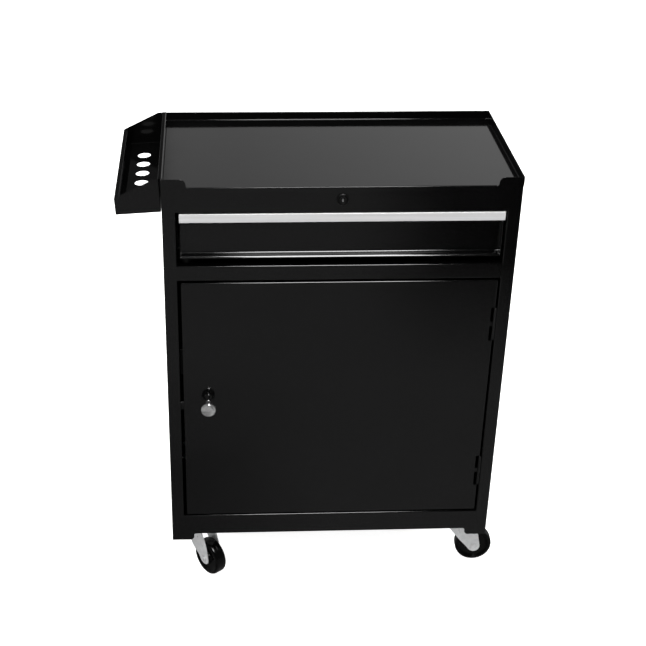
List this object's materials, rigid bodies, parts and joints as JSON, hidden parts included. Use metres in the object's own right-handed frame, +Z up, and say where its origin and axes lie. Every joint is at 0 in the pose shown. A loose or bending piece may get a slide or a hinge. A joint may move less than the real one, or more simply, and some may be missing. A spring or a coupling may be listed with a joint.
{
  "type": "tool cart",
  "caption": "Steel tool cart with a rimmed worktop, a drawer, a hinged cabinet door, a perforated side tray and swivel casters.",
  "frame": {"origin": "on the floor, below the middle of the whole box", "axes": "+Z up, front faces -Y, side tray at -X"},
  "size_m": [0.6068, 0.3092, 0.713],
  "materials": {
    "black_paint": "gloss black powder coat with faint orange peel",
    "zinc": "bright zinc plated pressed steel",
    "black_zinc": "black zinc plated steel, satin",
    "trim_aluminium": "satin drawn aluminium",
    "knob_chrome": "polished chrome plate",
    "wheel_plastic": "gloss black moulded polypropylene",
    "black_plastic": "black moulded plastic",
    "liner_foam": "matt ribbed foam rubber sheet"
  },
  "bodies": {
    "cabinet": {"front_frame": "black_paint", "left_side_panel": "black_paint", "right_side_panel": "black_paint", "back_panel": "black_paint", "worktop": "black_paint", "bottom_panel": "black_paint", "shelf": "black_paint", "left_shelf_rail": "black_paint", "right_shelf_rail": "black_paint", "left_slide_bracket": "black_zinc", "right_slide_bracket": "black_zinc", "left_cabinet_slide": "black_zinc", "right_cabinet_slide": "black_zinc", "lock_housing": "black_plastic", "lock_nut": "zinc", "magnetic_catch": "black_plastic", "lower_hinge_frame_leaf": "black_paint", "upper_hinge_frame_leaf": "black_paint", "lower_hinge_pin": "black_paint", "upper_hinge_pin": "black_paint", "side_tray": "black_paint", "front_left_caster_plate": "zinc", "front_left_kingpin": "zinc", "front_right_caster_plate": "zinc", "front_right_kingpin": "zinc", "rear_left_caster_plate": "zinc", "rear_left_kingpin": "zinc", "rear_right_caster_plate": "zinc", "rear_right_kingpin": "zinc"},
    "drawer": {"drawer_front": "black_paint", "drawer_trim_strip": "trim_aluminium", "drawer_box": "black_paint", "drawer_liner": "liner_foam", "left_drawer_slide": "black_zinc", "right_drawer_slide": "black_zinc"},
    "left_slide_middle": {"left_middle_slide": "black_zinc"},
    "right_slide_middle": {"right_middle_slide": "black_zinc"},
    "door": {"door_panel": "black_paint", "door_knob": "knob_chrome", "knob_screw": "zinc", "door_strike": "black_zinc", "lower_hinge_door_leaf": "black_paint", "upper_hinge_door_leaf": "black_paint"},
    "lock_plug": {"lock_core": "black_zinc", "lock_cam": "zinc"},
    "front_left_swivel": {"front_left_fork": "zinc", "front_left_axle": "zinc"},
    "front_left_wheel_body": {"front_left_wheel": "wheel_plastic"},
    "front_right_swivel": {"front_right_fork": "zinc", "front_right_axle": "zinc"},
    "front_right_wheel_body": {"front_right_wheel": "wheel_plastic"},
    "rear_left_swivel": {"rear_left_fork": "zinc", "rear_left_axle": "zinc"},
    "rear_left_wheel_body": {"rear_left_wheel": "wheel_plastic"},
    "rear_right_swivel": {"rear_right_fork": "zinc", "rear_right_axle": "zinc"},
    "rear_right_wheel_body": {"rear_right_wheel": "wheel_plastic"}
  },
  "joints": [
    {"name": "drawer_slide", "type": "slide", "parent": "cabinet", "child": "drawer", "axis": [0, -1, 0], "range_m": [0, 0.24]},
    {"name": "left_slide_middle_slide", "type": "slide", "parent": "cabinet", "child": "left_slide_middle", "axis": [0, -1, 0], "range_m": [0, 0.12]},
    {"name": "right_slide_middle_slide", "type": "slide", "parent": "cabinet", "child": "right_slide_middle", "axis": [0, -1, 0], "range_m": [0, 0.12]},
    {"name": "door_hinge", "type": "hinge", "parent": "cabinet", "child": "door", "pos_m": [0.2615, -0.1264, 0.338], "axis": [0, 0, 1], "range_deg": [0, 110]},
    {"name": "lock_turn", "type": "hinge", "parent": "cabinet", "child": "lock_plug", "pos_m": [0.0236, -0.1276, 0.6795], "axis": [0, 1, 0], "range_deg": [-90, 0]},
    {"name": "front_left_swivel", "type": "hinge", "parent": "cabinet", "child": "front_left_swivel", "pos_m": [-0.1937, -0.0891, 0.0818], "axis": [0, 0, 1], "continuous": true},
    {"name": "front_left_roll", "type": "hinge", "parent": "front_left_swivel", "child": "front_left_wheel_body", "pos_m": [-0.17447, -0.11417, 0.03075], "axis": [0.7934, 0.6088, 0], "continuous": true},
    {"name": "front_right_swivel", "type": "hinge", "parent": "cabinet", "child": "front_right_swivel", "pos_m": [0.2409, -0.0891, 0.0818], "axis": [0, 0, 1], "continuous": true},
    {"name": "front_right_roll", "type": "hinge", "parent": "front_right_swivel", "child": "front_right_wheel_body", "pos_m": [0.27247, -0.09037, 0.03075], "axis": [0.0401, 0.9992, 0], "continuous": true},
    {"name": "rear_left_swivel", "type": "hinge", "parent": "cabinet", "child": "rear_left_swivel", "pos_m": [-0.1937, 0.1149, 0.0818], "axis": [0, 0, 1], "continuous": true},
    {"name": "rear_left_roll", "type": "hinge", "parent": "rear_left_swivel", "child": "rear_left_wheel_body", "pos_m": [-0.16401, 0.10409, 0.03075], "axis": [0.342, 0.9397, 0], "continuous": true},
    {"name": "rear_right_swivel", "type": "hinge", "parent": "cabinet", "child": "rear_right_swivel", "pos_m": [0.2409, 0.1149, 0.0818], "axis": [0, 0, 1], "continuous": true},
    {"name": "rear_right_roll", "type": "hinge", "parent": "rear_right_swivel", "child": "rear_right_wheel_body", "pos_m": [0.21037, 0.12308, 0.03075], "axis": [-0.2588, -0.9659, 0], "continuous": true}
  ],
  "couplings": [
    {"joint": "left_slide_middle_slide", "follows": "drawer_slide", "ratio": 0.5},
    {"joint": "right_slide_middle_slide", "follows": "drawer_slide", "ratio": 0.5}
  ]
}
